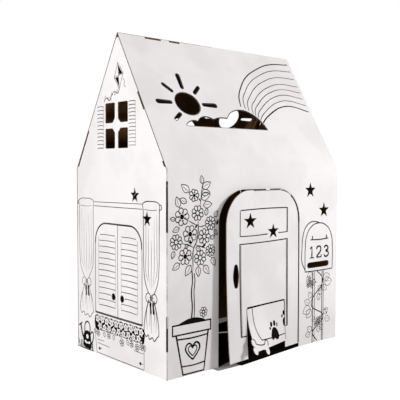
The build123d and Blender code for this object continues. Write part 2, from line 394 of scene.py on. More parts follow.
def potted_daisies(art):
    plant_pot(art)
    line(art, [(-349, 200), (-346, 240), (-350, 290), (-345, 332), (-348, 366)], 5.4)
    line(art, [(-337, 200), (-336, 245), (-338, 295), (-334, 330), (-337, 356)], 3.8)
    for stem in STEMS:
        line(art, stem, 4.4, taper=True)
    for count, (x, z, radius) in enumerate(BLOOMS):
        petals = 7 + count % 3
        daisy(art, (x, z), radius, petals, 3.2, turn=0.4 * count, eye=count % 3 == 0)
    for x, z, length, angle in LEAVES:
        leaf_shape(art, (x, z), length, angle)
    for x, z, length, angle in DARK_LEAVES:
        leaf_shape(art, (x, z), length, angle, width=0.28, solid=True)
    daisy(art, (-294, 214), 17, 7, 2.6)
    line(art, [(-294, 197), (-296, 190)], 3.0)


# %% [markdown]
# The mailbox is a box with a round top, seen a little from its left, on a square post. Its
# number is plain, drawn with a broad nib: each digit is one or two strokes.

# %% Mailbox, number and post
def digits(art, left, foot):
    two = [(43, 33), (47, 42), (57, 45), (68, 41), (70, 31), (63, 20), (50, 9), (43, 1)]
    three = [(92, 36), (98, 43), (108, 44), (116, 38), (115, 28), (104, 23)]
    three += [(117, 18), (119, 7), (110, 0), (98, 0), (91, 8)]
    for stroke, width, smooth in (
        ([(2, 38), (13, 45), (13, 2)], 8.0, False),
        ([(0, 0), (26, 0)], 4.6, False),
        (two, 6.9, True),
        ([(43, 0), (72, 0), (74, 10)], 5.8, False),
        (three, 6.9, True),
    ):
        line(art, [(left + x, foot + z) for x, z in stroke], width, smooth)


def mailbox(art):
    front = [(255, 301), (255, 400), (262, 445), (290, 482), (341, 497)]
    front += [(392, 482), (422, 445), (430, 400), (430, 301)]
    line(art, front, 4.2)
    line(art, [(255, 300), (343, 299), (430, 300)], 4.0)
    back = [(256, 304), (247, 320), (236, 338), (235, 400), (240, 448)]
    back += [(258, 484), (290, 503), (318, 504), (345, 497)]
    line(art, back, 4.0)
    line(art, [(287, 430), (345, 428), (402, 430)], 4.4)
    for x in (300, 390):
        line(art, [(x - 1, 432), (x, 445)], 6.0)
    digits(art, 284, 355)
    for x, width in ((304, 4.6), (316, 2.8), (364, 4.6), (373, 2.8)):
        straight(art, [(x, 296), (x, 150), (x - 1, 2)], width)


# %% [markdown]
# A climber winds up the post. Its stem is one long curve that swings from side to side of the
# post, and its leaves and small flowers are placed beside that curve. They are drawn with a
# finer pen than the potted plant, because there are more of them to the hand's breadth.

# %% Climbing plant on the post
CLIMBER_LEAVES = (
    (300, 290, 34, 3.5), (286, 280, 38, 4.2), (300, 262, 34, 4.6), (372, 262, 44, 0.3),
    (380, 246, 48, 0.05), (366, 232, 34, -0.6), (296, 190, 30, 2.2), (284, 168, 34, 2.7),
    (290, 150, 50, 3.5), (296, 140, 44, 3.9), (340, 214, 30, 0.8), (352, 196, 30, 1.4),
    (376, 112, 34, 0.7), (384, 92, 34, -0.2), (352, 70, 32, -0.9), (300, 52, 34, 2.6),
    (290, 40, 30, 3.2), (330, 50, 30, 0.2), (346, 176, 28, 1.9), (316, 110, 26, 4.2),
)
CLIMBER_BLOOMS = (
    (282, 262, 12), (296, 246, 11), (276, 243, 10), (336, 92, 12), (352, 98, 10), (346, 80, 10),
    (326, 78, 9),
)


def climber(art):
    stem = [(332, 296), (352, 282), (368, 262), (362, 238), (338, 216), (312, 196), (296, 172)]
    stem += [(300, 152), (330, 134), (362, 118), (372, 100), (352, 78), (324, 62), (304, 44)]
    stem += [(318, 22), (334, 6)]
    line(art, stem, 4.4)
    for x, z, length, angle in CLIMBER_LEAVES:
        leaf_shape(art, (x, z), length, angle, width=0.42, weight=2.0)
    for x, z, radius in CLIMBER_BLOOMS:
        daisy(art, (x, z), radius, 5, 1.9, turn=x, eye=True)
    for berry in ((312, 264), (322, 252), (386, 128), (394, 116)):
        field(art, ring(berry, 3.6, count=5))


# %% [markdown]
# The door has two sunk panels, drawn as thin rectangles with one heavier side. A star is cut
# through the upper panel's foot line, so that line stops on each side of it.

# %% Door leaf
def door_panels(art):
    line(art, [(-140, 569), (0, 571), (137, 569)], 3.8)
    line(art, [(-146, 474), (-60, 472), (14, 473)], 3.8)
    line(art, [(80, 473), (140, 474)], 3.8)
    straight(art, [(-145, 570), (-146, 474)], 4.4)
    straight(art, [(136, 570), (137, 473)], 6.4)
    line(art, [(-150, 445), (0, 444), (140, 446)], 4.1)
    straight(art, [(-147, 446), (-148, 106)], 6.1)
    straight(art, [(-141, 440), (-142, 108)], 1.9)
    straight(art, [(-150, 107), (-116, 105)], 4.1)
    straight(art, [(137, 446), (138, 103)], 6.9)
    straight(art, [(131, 440), (132, 108)], 1.9)
    straight(art, [(126, 103), (140, 102)], 4.1)


def door_edge(art):
    """Border along the arch, and a heavier one down the hinge fold."""
    rim = arch_path(-216, 212, 30, 638, 121)
    line(art, [(-70, 639.4), (0, 639.6), (90, 639.4)], 2.0)
    line(art, rim[10:14], 3.6, taper=True)
    line(art, rim[13:-1] + [(214, 440), (215.2, 250), (215.2, 18)], 6.9)


# %% [markdown]
# The pet flap has an inset line, a bone at its corner and paw prints. A paw is one pad with
# toes above it, each a filled oval.

# %% Pet flap
TOES = (
    (24, 126, 7.5, 10), (45, 127, 7.5, 11), (62, 119, 4, 8), (14, 113, 5, 6),
    (112, 156, 6, 10), (101, 145, 5, 6),
)


def paw_prints(art):
    pad = [(14, 77), (19, 97), (29, 110), (44, 112), (58, 102), (67, 86), (67, 70), (48, 66)]
    field(art, pad + [(36, 73), (21, 69)])
    for x, z, wide, high in TOES:
        field(art, ring((x, z), wide, high / wide))
    field(art, [(108, 134), (116, 137), (118, 120), (118, 104), (110, 107), (105, 120)])


def bone_outline(art):
    """Outline of the bone where it lies on the flap: two knobs and the shaft between them."""
    knob, end, rise = 11.2, 39.5, 13.0
    half = [spot_round((-end, rise), knob, turn) for turn in (1.9, 1.2, 0.5, -0.1)]
    half += [(-14, 7.4), (14, 7.4)]
    half += [spot_round((end, rise), knob, turn) for turn in (3.25, 2.4, 1.57, 0.7, -0.1, -0.9)]
    line(art, turned_shape(half, (-73.5, 64), radians(-11.7)), 3.7)


def pet_flap(art):
    straight(art, [(-110, 206.5), (0, 207), (119, 206.5)], 6.2)
    line(art, [(-81, 203), (-80, 170), (-78, 140), (-71, 112), (-56, 84)], 3.9)
    line(art, [(-56, 84), (-20, 81), (26, 78), (72, 76), (118, 74)], 3.8)
    straight(art, [(118, 204), (118.5, 150), (118.5, 52)], 3.4)
    paw_prints(art)
    bone_outline(art)


# %% [markdown]
# The gable shows a window with closed shutters between two tied curtains on a rod, with a box
# of flowers under it. Louvres are short strokes of slightly different length, as a hand
# would draw them.

# %% Shutters and attic window
def shutter_lines(art):
    for step in range(13):
        z = 198 + 22.6 * step
        reach = 132 - (8 if step > 11 else 0)
        line(art, [(-reach, z - 1), (-76, z + 1), (-50 if step == 2 else -20, z)], 2.5)
        line(art, [(42 if step == 2 else 20, z), (76, z + 1), (reach - 11, z - 1)], 2.6)
    for x in (-134, -18, 19, 123):
        straight(art, [(x, 200), (x, 320), (x, 462)], 1.2)
    straight(art, arch_path(-157.8, 149.8, 163, 514.8, 74), 3.0)
    straight(art, [(-159, 163), (0, 162.6), (151, 163)], 3.8)


def attic_shutters(art):
    for step in range(12):
        z = 797 + 14.2 * step
        line(art, [(-137, z), (-116, z + 1.5), (-96, z - 0.5)], 2.5)
    for step in range(13):
        z = 804 + 13.1 * step
        line(art, [(71, z), (90, z + 1.0), (112, z)], 1.7 + 0.08 * step)
    straight(art, [(-94, 796), (-94, 956)], 1.1)
    straight(art, [(113, 802), (112, 962)], 1.1)


# %% [markdown]
# Each curtain hangs in folds, is drawn in at its waist by a bow, and opens below it again.
# The same drawing serves both: only the sides, the height of the bow and the foot change.

# %% Curtains and rod
def curtain_top(art, left, right, top, weight):
    middle = (left + right) / 2
    head = [(left, top - 26), (left - 2, top - 8), (left + 8, top - 1), (middle, top + 3)]
    head += [(right - 12, top), (right, top - 8), (right - 1, top - 26)]
    line(art, head, weight)
    line(art, [(left + 8, top - 26), (middle, top - 28), (right - 14, top - 25)], weight * 0.6)


def curtain_folds(art, left, right, top, tie, weight):
    middle = (left + right) / 2
    for side, edge in ((-1, left), (1, right)):
        waist = middle + side * 17
        hang = [(edge, top - 26), (edge - side, 470), (edge - side * 3, 370)]
        hang += [(edge - side * 9, tie + 42), (waist + side * 8, tie + 12), (waist, tie)]
        line(art, hang, weight)
    folds = ((0.16, 40, 34), (0.32, 90, 22), (0.5, 130, 16), (0.68, 60, 22), (0.84, 40, 34))
    for share, high, low in folds:
        x = left + (right - left) * share
        bent = middle + (x - middle) * 0.55
        fold = [(x, top - high), (x + 1, 430), (x, 360), (bent, tie + low)]
        line(art, fold, weight * 0.62, taper=True)


def bow(art, x, z, weight):
    for side in (-1, 1):
        loop = [(x + side * 3, z), (x + side * 17, z + 12), (x + side * 31, z + 2)]
        loop += [(x + side * 28, z - 16), (x + side * 14, z - 20), (x + side * 3, z - 6)]
        line(art, loop, weight, closed=True)
        line(art, [(x + side * 6, z - 2), (x + side * 20, z - 3)], weight * 0.6, taper=True)
    line(art, ring((x, z - 3), 6, 1.3, count=6), weight, closed=True)


def curtain_skirt(art, left, right, tie, foot, weight):
    middle = (left + right) / 2
    for side, edge in ((-1, left), (1, right)):
        flare = [(middle + side * 15, tie - 24), (middle + side * 26, tie - 52)]
        flare += [(edge - side * 8, tie - 84), (edge - side * 2, tie - 112), (edge, foot + 22)]
        line(art, flare, weight)
    hem = [(left, foot + 22), (left + 12, foot + 6), (left + 26, foot + 14)]
    hem += [(middle - 12, foot), (middle + 6, foot + 8)]
    hem += [(right - 28, foot - 2), (right - 12, foot + 12), (right, foot + 22)]
    line(art, hem, weight * 1.1)
    folds = ((0.22, -4, 30), (0.38, 4, 44), (0.52, -3, 22), (0.66, 5, 50), (0.8, 2, 30))
    for share, bend, low in folds:
        x = left + (right - left) * share
        bent = middle + (x - middle) * 0.5
        fold = [(bent, tie - 26), (x + bend, tie - 70), (x, foot + low)]
        line(art, fold, weight * 0.75, taper=True)
    for share in (0.44, 0.62):
        x = left + (right - left) * share
        field(art, [(x, tie - 32), (x + 5, tie - 52), (x + 3, tie - 74), (x - 3, tie - 56)])


def curtains(art):
    line(art, [(-166, 592), (0, 594), (154, 596)], 2.4)
    line(art, [(-166, 577), (0, 577), (154, 578)], 2.4)
    line(art, [(-278, 595), (-283, 592), (-284, 583), (-279, 579)], 2.6)
    line(art, [(253, 598), (263, 593), (261, 582), (252, 578)], 3.2)
    for left, right, top, tie, foot, weight in (
        (-276, -170, 601, 292, 138, 2.5),
        (157, 252, 604, 288, 124, 3.4),
    ):
        curtain_top(art, left, right, top, weight)
        curtain_folds(art, left + 1, right - 1, top, tie, weight)
        bow(art, (left + right) / 2, tie - 14, weight)
        curtain_skirt(art, left + 4, right - 4, tie, foot, weight)


# %% [markdown]
# In the flower box the ground between the blooms is printed solid, so that the white blooms
# stand out. Where one closed outline lies inside another, a filled curve leaves a hole. The
# blooms are therefore more outlines in the same curve.

# %% Flower box
BOX_STEP = 31.8
PETALS = 5


def bloom_outline(middle, radius, turn):
    points = []
    for step in range(2 * PETALS):
        reach = radius if step % 2 == 0 else radius * 0.68
        points.append(spot_round(middle, reach, turn + pi * step / PETALS))
    return points


def box_bloom(art, middle, radius, turn):
    line(art, ring(middle, radius * 0.24, count=5), 1.8, closed=True)
    for petal in range(PETALS):
        angle = turn + tau * petal / PETALS
        stroke = [spot_round(middle, radius * share, angle) for share in (0.36, 0.62)]
        line(art, stroke, 1.6, taper=True)


def full_box(art):
    """Two rows of blooms in front of dark leaves."""
    top = [(160 - 16 * step, 151 + 5 * (step % 2)) for step in range(21)]
    foot = [(-160 + 16 * step, 99 - 3 * (step % 2)) for step in range(21)]
    field(art, [(166, 126)] + top + [(-166, 126)] + foot, smooth=False)
    rows = [(-143 + BOX_STEP * step, 138.5 + sin(2 * step), 15.4) for step in range(10)]
    rows += [(-127 + BOX_STEP * step, 112.5 + cos(3 * step), 14.4) for step in range(9)]
    for count, (x, z, radius) in enumerate(rows):
        field(art, bloom_outline((x, z), radius, 0.7 * count))
        box_bloom(art, (x, z), radius, 0.7 * count)
    for step in range(9):
        x = -127 + BOX_STEP * step
        field(art, [(x - 4, 150), (x, 143), (x + 4, 150), (x, 153)])
        field(art, [(x + 12, 101), (x + 16, 107), (x + 20, 101), (x + 16, 98)])


# %% [markdown]
# Below the dark band a few blooms and leaves hang over the plain front of the box, which is
# drawn with thin lines and two dark fixing holes.

# %% Foot of the flower box
HANGING_BLOOMS = ((-141, 84, 13), (-66, 86, 11), (22, 78, 14), (84, 84, 12), (118, 79, 13), (146, 86, 12))
HANGING_LEAVES = (
    (-160, 96, 18, -1.9), (-100, 94, 20, -1.2), (-30, 95, 20, -1.8), (54, 94, 22, -1.1),
    (162, 96, 22, -1.4),
)


def flower_box(art):
    full_box(art)
    for x, z, radius in HANGING_BLOOMS:
        daisy(art, (x, z), radius, 5, 1.9, turn=x)
    for x, z, length, angle in HANGING_LEAVES:
        leaf_shape(art, (x, z), length, angle, width=0.4, weight=1.9)
    straight(art, [(-163, 96), (-150, 8)], 2.2)
    straight(art, [(161, 92), (161, 7)], 2.4)
    straight(art, [(-150, 7), (0, 6), (161, 6)], 2.2)
    line(art, [(-146, 58), (-98, 59)], 1.8)
    line(art, [(-144, 45), (-60, 43)], 1.8)
    line(art, [(98, 64), (158, 63)], 1.8)
    for x in (-130, 139):
        field(art, ring((x, 25), 6.0))
        line(art, [(x - 10, 24), (x + 17, 26)], 1.9)


# %% [markdown]
# Two small motifs fill the free corners of the gable: a kite above the attic window and a
# watering can among tufts of grass. The can is printed solid, and nested outlines leave its
# light band and spot.

# %% Kite and watering can
def kite(art):
    straight(art, [(2, 1108), (36, 1066), (12, 1010), (-20, 1054)], 3.2, closed=True)
    straight(art, [(2, 1108), (12, 1010)], 2.0)
    straight(art, [(-20, 1054), (36, 1066)], 2.0)
    field(art, [(4, 1100), (9, 1063), (31, 1066)], smooth=False)
    field(art, [(-14, 1052), (5, 1056), (10, 1020)], smooth=False)
    tail = [(12, 1010), (0, 996), (-20, 1004), (-38, 992), (-52, 974), (-72, 984), (-92, 970)]
    line(art, tail, 2.8)
    for x, z, angle in ((-8, 1000, 0.3), (-42, 988, 1.0), (-72, 983, -0.3)):
        for side in (0, pi):
            wing = turned_shape([(1, 0), (12, 7), (12, -7)], (x, z), angle + side)
            straight(art, wing, 2.4, closed=True)
    line(art, [(36, 1046), (46, 1034), (42, 1024), (52, 1014)], 2.4)


def watering_can(art):
    body = [(-246, 12), (-250, 44), (-242, 70), (-222, 78), (-202, 72), (-194, 46), (-192, 12), (-218, 7)]
    field(art, body)
    field(art, [(-240, 30), (-219, 26), (-200, 30), (-200, 36), (-219, 32), (-240, 36)])
    field(art, ring((-221, 54), 9, count=6))
    line(art, [(-242, 36), (-258, 60), (-268, 94)], 9.0)
    straight(art, [(-282, 90), (-258, 104)], 6.0)
    line(art, [(-198, 66), (-182, 78), (-178, 50), (-192, 28)], 6.0)
    line(art, [(-240, 72), (-236, 104), (-216, 114), (-202, 100), (-202, 70)], 6.0)
    for x, lean in ((-276, -4), (-268, 4), (-260, -3), (-253, 3), (-186, 3), (-179, -3)):
        line(art, [(x, 5), (x + lean, 20), (x + 2.4 * lean, 36)], 5.0, taper=True)
    line(art, [(-284, 6), (-230, 4), (-174, 6)], 4.0)


# %% [markdown]
# The roof carries a rainbow that springs from the cloud. Its arcs fan out to the right, and
# only the first and the last are heavy.

# %% Rainbow
OUTER_ARC = ((26, -293), (40, -244), (72, -198), (128, -141), (205, -95), (310, -53), (441, -38))
INNER_ARC = ((117, -365), (143, -344), (178, -322), (220, -299), (262, -281), (330, -269), (441, -290))
ARC_FEET = (
    (26, -293), (48, -302), (64, -310), (82, -322), (92, -331), (101, -341), (109, -352), (117, -365),
)
ARC_ENDS = (38, 76, 117, 158, 190, 223, 257, 290)


def rainbow(art):
    for count, (foot, end) in enumerate(zip(ARC_FEET, ARC_ENDS)):
        share = (end - ARC_ENDS[0]) / (ARC_ENDS[-1] - ARC_ENDS[0])
        path = [foot]
        for (outer_x, outer_z), (inner_x, inner_z) in zip(OUTER_ARC[1:], INNER_ARC[1:]):
            x = outer_x + (inner_x - outer_x) * share
            path.append((x, outer_z + (inner_z - outer_z) * share))
        line(art, path, 5.0 if count in (0, 7) else 3.1)


# %% [markdown]
# Sun and cloud are cut right through the roof, and a printed rim runs round each opening. A
# rim must lie wholly on the board, so every outline is drawn a little outside the cut. A ray
# of the sun is a slot with two round ends, and the cloud is a row of arcs. Rays are given in
# shares of the sun's half width and half height, and arcs in shares of the cloud.

# %% Rims of the roof openings
SUN = (-250, -300)
SUN_HALF_WIDE, SUN_HALF_HIGH = 57, 50
CLOUD_LEFT, CLOUD_FOOT = -295, -398
CLOUD_WIDE, CLOUD_HIGH = 420, 87
RIM_OUT = 1.2
RAYS = (
    ((-2.42, 0.02), (-1.4, 0.02), 16, 12), ((2.4, 0.02), (1.37, 0.02), 16.8, 12),
    ((0.05, 2.54), (0.04, 1.48), 17.6, 13.6), ((-1.49, 1.6), (-0.96, 1.06), 12, 12),
    ((1.49, 1.6), (0.98, 1.06), 12, 12), ((-1.49, -1.44), (-0.98, -0.98), 12, 12),
)
LOBES = (
    ((0, 0), (0.064, 0.23), (0.15, 0.241)), ((0.15, 0.241), (0.255, 0.506), (0.345, 0.379)),
    ((0.345, 0.379), (0.429, 0.494), (0.524, 0.494)), ((0.524, 0.494), (0.612, 0.851), (0.726, 1)),
    ((0.726, 1), (0.902, 0.736), (1, 0)),
)


def slot_rim(tip, root, tip_wide, root_wide):
    heading = atan2(tip[1] - root[1], tip[0] - root[0])
    path = []
    for middle, wide, turns in (
        (tip, tip_wide, (-1.57, -0.78, 0, 0.78, 1.57)),
        (root, root_wide, (1.57, 2.36, 3.14, 3.93, 4.71)),
    ):
        path += [spot_round(middle, wide / 2 + RIM_OUT, heading + turn) for turn in turns]
    return path


def arc_rim(start, middle, end, out, steps=7):
    """Arc through three points, moved out from its centre."""
    (ax, ay), (bx, by), (cx, cy) = start, middle, end
    area = 2 * (ax * (by - cy) + bx * (cy - ay) + cx * (ay - by))
    a, b, c = (x * x + y * y for x, y in (start, middle, end))
    x = (a * (by - cy) + b * (cy - ay) + c * (ay - by)) / area
    y = (a * (cx - bx) + b * (ax - cx) + c * (bx - ax)) / area
    radius = hypot(ax - x, ay - y) + out
    first = atan2(ay - y, ax - x)
    last = atan2(cy - y, cx - x)
    if last > first:
        last -= tau
    sweep = last - first
    return [spot_round((x, y), radius, first + sweep * step / steps) for step in range(steps + 1)]


def opening_rims(art):
    wide = SUN_HALF_WIDE + RIM_OUT
    high = SUN_HALF_HIGH + RIM_OUT
    line(art, ring(SUN, wide, high / wide, count=16), 1.8, closed=True)
    for tip, root, tip_wide, root_wide in RAYS:
        ends = [(SUN[0] + SUN_HALF_WIDE * x, SUN[1] + SUN_HALF_HIGH * y) for x, y in (tip, root)]
        straight(art, slot_rim(*ends, tip_wide, root_wide), 2.2, closed=True)
    for lobe in LOBES:
        spots = [(CLOUD_LEFT + CLOUD_WIDE * x, CLOUD_FOOT + CLOUD_HIGH * y) for x, y in lobe]
        straight(art, arc_rim(*spots, 1.4), 2.6)
    straight(art, [(-296, -399.2), (-80, -399.2), (125, -399.2)], 1.6)


# %% [markdown]
# A material is a graph of nodes. Small helpers keep the graphs short to write: one adds a
# node and links what feeds it, one does a sum, one opens a group with named sockets, and two
# open and close a material. All type names begin with ShaderNode, so the first helper adds it.

# %% Node helpers
def node(tree, kind, feeds=(), **settings):
    made = tree.nodes.new("ShaderNode" + kind)
    for key, value in settings.items():
        setattr(made, key, value)
    for socket, value in feeds:
        if isinstance(value, bpy.types.NodeSocket):
            tree.links.new(value, made.inputs[socket])
        else:
            made.inputs[socket].default_value = value
    return made


def reckon(tree, operation, *values):
    return node(tree, "Math", enumerate(values), operation=operation).outputs[0]


def new_group(name, inputs, outputs):
    group = bpy.data.node_groups.new(name, "ShaderNodeTree")
    for direction, sockets in (("INPUT", inputs), ("OUTPUT", outputs)):
        for label, kind in sockets:
            group.interface.new_socket(label, in_out=direction, socket_type="NodeSocket" + kind)
    given = group.nodes.new("NodeGroupInput").outputs
    return group, given, group.nodes.new("NodeGroupOutput").inputs


def new_material(name):
    material = bpy.data.materials.new(name)
    material.use_nodes = True
    material.node_tree.nodes.clear()
    return material


def end_with(tree, shader, kind="OutputMaterial"):
    tree.links.new(shader, node(tree, kind).inputs[0])


# %% [markdown]
# Masks are numbers that are 1 inside a zone and 0 outside. Where several masks must all hold
# they are multiplied, and where one is enough the greatest is taken. Two more helpers mix
# numbers or colours by a mask, and one adds a cloudy pattern.

# %% Masks, mixes and clouds
def below(tree, value, limit):
    return reckon(tree, "LESS_THAN", value, limit)


def above(tree, value, limit):
    return reckon(tree, "GREATER_THAN", value, limit)


def every(tree, first, *others):
    for other in others:
        first = reckon(tree, "MULTIPLY", first, other)
    return first


def either(tree, first, *others):
    for other in others:
        first = reckon(tree, "MAXIMUM", first, other)
    return first


def between(tree, value, low, high):
    return every(tree, above(tree, value, low), below(tree, value, high))


def mix(tree, share, first, second):
    feeds = ((0, share), (2, first), (3, second))
    return node(tree, "Mix", feeds, data_type="FLOAT").outputs[0]


def mix_colours(tree, share, first, second):
    feeds = ((0, share), (6, first), (7, second))
    return node(tree, "Mix", feeds, data_type="RGBA").outputs[2]


def clouds(tree, place, scale, detail, roughness=0.5):
    feeds = (("Vector", place), ("Scale", scale), ("Detail", detail), ("Roughness", roughness))
    return node(tree, "TexNoise", feeds).outputs[0]


# %% [markdown]
# The board is white outside, brown inside, and shows its flutes where it is cut. One solid has
# one material slot, so the material has to find out which side a point is on. It could be
# painted face by face, but the mesh isn't ours to change. This node group compares the point
# and its direction with the outer planes of the walls and roof, and puts out a mask for each
# side. Both sheets use it.

# %% Which side of the sheet, in metres
WALL = WALL_Y * TO_METRES
GABLE = GABLE_X * TO_METRES
SQUARELY = 0.6
# How far in from the outer planes each side reaches
SKIN = 0.0005
WALL_SKIN = 0.0004
UNDERSIDE = 0.0041
BEND = 0.0031
INNER_FACE = 0.0045
CORNER = 0.007


def sheet_side_group():
    tree, given, result = new_group(
        "sheet_side",
        (("Place", "Vector"), ("Facing", "Vector")),
        [(label, "Float") for label in ("Printed", "Cut edge", "Across", "Crease", "Corner slot shade")],
    )
    x, y = node(tree, "SeparateXYZ", ((0, given["Place"]),)).outputs[:2]
    facing_x, facing_y = node(tree, "SeparateXYZ", ((0, given["Facing"]),)).outputs[:2]
    ridge = (0, RIDGE_Y * TO_METRES, RIDGE_Z * TO_METRES)
    feeds = ((0, given["Place"]), (1, ridge))
    from_ridge = node(tree, "VectorMath", feeds, operation="SUBTRACT").outputs[0]
    feeds = ((0, from_ridge), (1, tuple(ROOF_OUT)))
    height = node(tree, "VectorMath", feeds, operation="DOT_PRODUCT").outputs["Value"]

    forwards = below(tree, facing_y, -SQUARELY)
    leftwards = below(tree, facing_x, -SQUARELY)
    wall = every(tree, forwards, below(tree, y, WALL + WALL_SKIN))
    roof = every(tree, forwards, above(tree, height, -SKIN))
    gable = every(tree, leftwards, below(tree, x, GABLE + SKIN), below(tree, height, -UNDERSIDE))
    bend = below(tree, reckon(tree, "ADD", facing_x, facing_y), -0.9)
    bend = every(tree, bend, below(tree, x, GABLE + BEND), below(tree, y, WALL + BEND))
    printed = either(tree, wall, roof, gable, bend)

    flat = above(tree, reckon(tree, "ABSOLUTE", facing_y), SQUARELY)
    back = every(tree, above(tree, facing_x, SQUARELY), below(tree, x, GABLE + INNER_FACE))
    edge = reckon(tree, "SUBTRACT", 1.0, either(tree, printed, flat, back))
    sideways = above(tree, reckon(tree, "ABSOLUTE", facing_x), SQUARELY)
    across = mix(tree, sideways, x, y)
    # Mask of the fold slots at the front corner, where a near-black colour is painted as shade.
    corner = every(tree, below(tree, x, GABLE + CORNER), below(tree, y, WALL + CORNER))
    for socket, value in zip(result, (printed, edge, across, bend, corner)):
        tree.links.new(value, socket)
    return tree


# %% [markdown]
# Corrugated board is never quite flat: the flutes show through the liner as faint ribs, and
# the whole panel bows a little. Both are heights for a Bump node, far smaller than the mesh.

# %% Ribs and bow of the board
FLUTE = 0.0072


def board_relief_group():
    tree, given, result = new_group(
        "board_relief",
        (("Place", "Vector"), ("Across", "Float"), ("Rib", "Float"), ("Bow", "Float")),
        (("Height", "Float"), ("Rib wave", "Float")),
    )
    wave = reckon(tree, "SINE", reckon(tree, "MULTIPLY", given["Across"], tau / FLUTE))
    broad = clouds(tree, given["Place"], 3.2, 2.0, roughness=0.45)
    fine = clouds(tree, given["Place"], 260.0, 3.0)
    total = reckon(tree, "MULTIPLY", wave, given["Rib"])
    total = reckon(tree, "MULTIPLY_ADD", broad, given["Bow"], total)
    total = reckon(tree, "MULTIPLY_ADD", fine, 0.02, total)
    tree.links.new(total, result["Height"])
    tree.links.new(wave, result["Rib wave"])
    return tree


# %% [markdown]
# The printed side is paper with a thin coat of white clay. It is nearly even in colour, with
# a cloudiness that can only just be seen. The brown side is kraft: long fibres, darker
# specks, and a slightly different brown from place to place.

# %% Paper colours
SPECK = (0.09, 0.055, 0.03, 1)


def paper_group():
    tree, given, result = new_group(
        "paper_colour",
        (("Place", "Vector"), ("Light tone", "Color"), ("Dark tone", "Color"), ("Specks", "Float")),
        (("Color", "Color"),),
    )
    place = given["Place"]
    stretched = node(tree, "Mapping", ((0, place), ("Scale", (1.0, 1.0, 0.22)))).outputs[0]
    fibre = clouds(tree, stretched, 420.0, 2.0)
    feeds = ((0, clouds(tree, place, 5.0, 3.0)), (1, 0.4), (2, 0.62))
    patch = node(tree, "MapRange", feeds, interpolation_type="SMOOTHSTEP").outputs[0]
    blend = reckon(tree, "MULTIPLY_ADD", patch, 0.6, reckon(tree, "MULTIPLY", fibre, 0.4))
    base = mix_colours(tree, blend, given["Light tone"], given["Dark tone"])
    cells = node(tree, "TexVoronoi", (("Vector", place), ("Scale", 190.0))).outputs["Distance"]
    speck = every(tree, below(tree, cells, 0.09), given["Specks"])
    tree.links.new(mix_colours(tree, speck, base, SPECK), result["Color"])
    return tree


side_group = sheet_side_group()
relief_group = board_relief_group()
paper = paper_group()
print("node groups", [group.name for group in bpy.data.node_groups])

# %% [markdown]
# One material dresses a whole sheet. It mixes the white face, the kraft and the cut edge by
# the masks of the first group. The back sheet is the same board turned half round, so its
# material turns the coordinates with a Mapping node before they reach the groups.

# %% Board material
CLAY_LIGHT, CLAY_DARK = (0.93, 0.897, 0.893, 1), (0.83, 0.79, 0.787, 1)
KRAFT_LIGHT, KRAFT_DARK = (0.21, 0.105, 0.042, 1), (0.125, 0.06, 0.024, 1)
CUT_LIGHT, CUT_FLUTE_SHADE = (0.23, 0.155, 0.105, 1), (0.09, 0.056, 0.038, 1)
CORNER_SHADE = (0.02, 0.013, 0.009, 1)
CREASE_MOTTLE = (0.17, 0.13, 0.11, 1)
KRAFT_ROUGH, CLAY_ROUGH = 0.85, 0.52
RIB_HEIGHT, BOW_HEIGHT = 0.07, 9.0
HALF_ROUND = (0, 0, pi)


def place_in_group(tree, group, *values):
    return node(tree, "Group", enumerate(values), node_tree=group).outputs


def board_material(name, turned):
    material = new_material(name)
    tree = material.node_tree
    spots = node(tree, "TexCoord").outputs
    place, facing = spots["Object"], spots["Normal"]
    if turned:
        feeds = ((0, place), ("Location", (0, 2 * RIDGE_Y * TO_METRES, 0)), ("Rotation", HALF_ROUND))
        place = node(tree, "Mapping", feeds, vector_type="POINT").outputs[0]
        feeds = ((0, facing), ("Rotation", HALF_ROUND))
        facing = node(tree, "Mapping", feeds, vector_type="VECTOR").outputs[0]
    sides = place_in_group(tree, side_group, place, facing)
    relief = place_in_group(tree, relief_group, place, sides["Across"], RIB_HEIGHT, BOW_HEIGHT)
    white = place_in_group(tree, paper, place, CLAY_LIGHT, CLAY_DARK, 0.0)[0]
    kraft = place_in_group(tree, paper, place, KRAFT_LIGHT, KRAFT_DARK, 0.6)[0]

    # On cut edges the flutes show as stripes: the light stripes are the paper, the dark ones are painted
    # shade in the hollow flutes.
    flute_stripes = reckon(tree, "MULTIPLY_ADD", relief["Rib wave"], 0.5, 0.5)
    cut = mix_colours(tree, flute_stripes, CUT_LIGHT, CUT_FLUTE_SHADE)
    # In the fold slots at the front corner the cut edge is painted nearly black: painted shade.
    cut = mix_colours(tree, sides["Corner slot shade"], cut, CORNER_SHADE)
    # Along the rounded fold at the front corner a noise mottles the white face a darker grey-brown.
    crease_mottle = every(tree, sides["Crease"], clouds(tree, place, 60.0, 3.0))
    face = mix_colours(tree, crease_mottle, white, CREASE_MOTTLE)
    under = mix_colours(tree, sides["Cut edge"], kraft, cut)
    colour = mix_colours(tree, sides["Printed"], under, face)
    rough = mix(tree, sides["Printed"], KRAFT_ROUGH, CLAY_ROUGH)

    feeds = (("Strength", 1.0), ("Distance", 0.001), ("Height", relief["Height"]))
    bump = node(tree, "Bump", feeds).outputs[0]
    shader = node(tree, "BsdfPrincipled", (
        ("Base Color", colour), ("Roughness", rough), ("Normal", bump),
        ("IOR", 1.45), ("Specular IOR Level", 0.3),
    ))
    end_with(tree, shader.outputs[0])
    return material


for half, turned in (("front", False), ("back", True)):
    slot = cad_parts[half + "_half"].material_slots[0]
    slot.material = board_material("white_faced_board_" + half, turned)
    print(slot.material.name, "has", len(slot.material.node_tree.nodes), "nodes")

# %% [markdown]
# Printing ink on board is a soft black. It is thinner where the plate pressed less, so its
# colour varies between black and a dark grey at the scale of a few millimetres.

# %% Ink
INK_BLACK, INK_GREY = (0.001, 0.001, 0.001, 1), (0.009, 0.008, 0.008, 1)


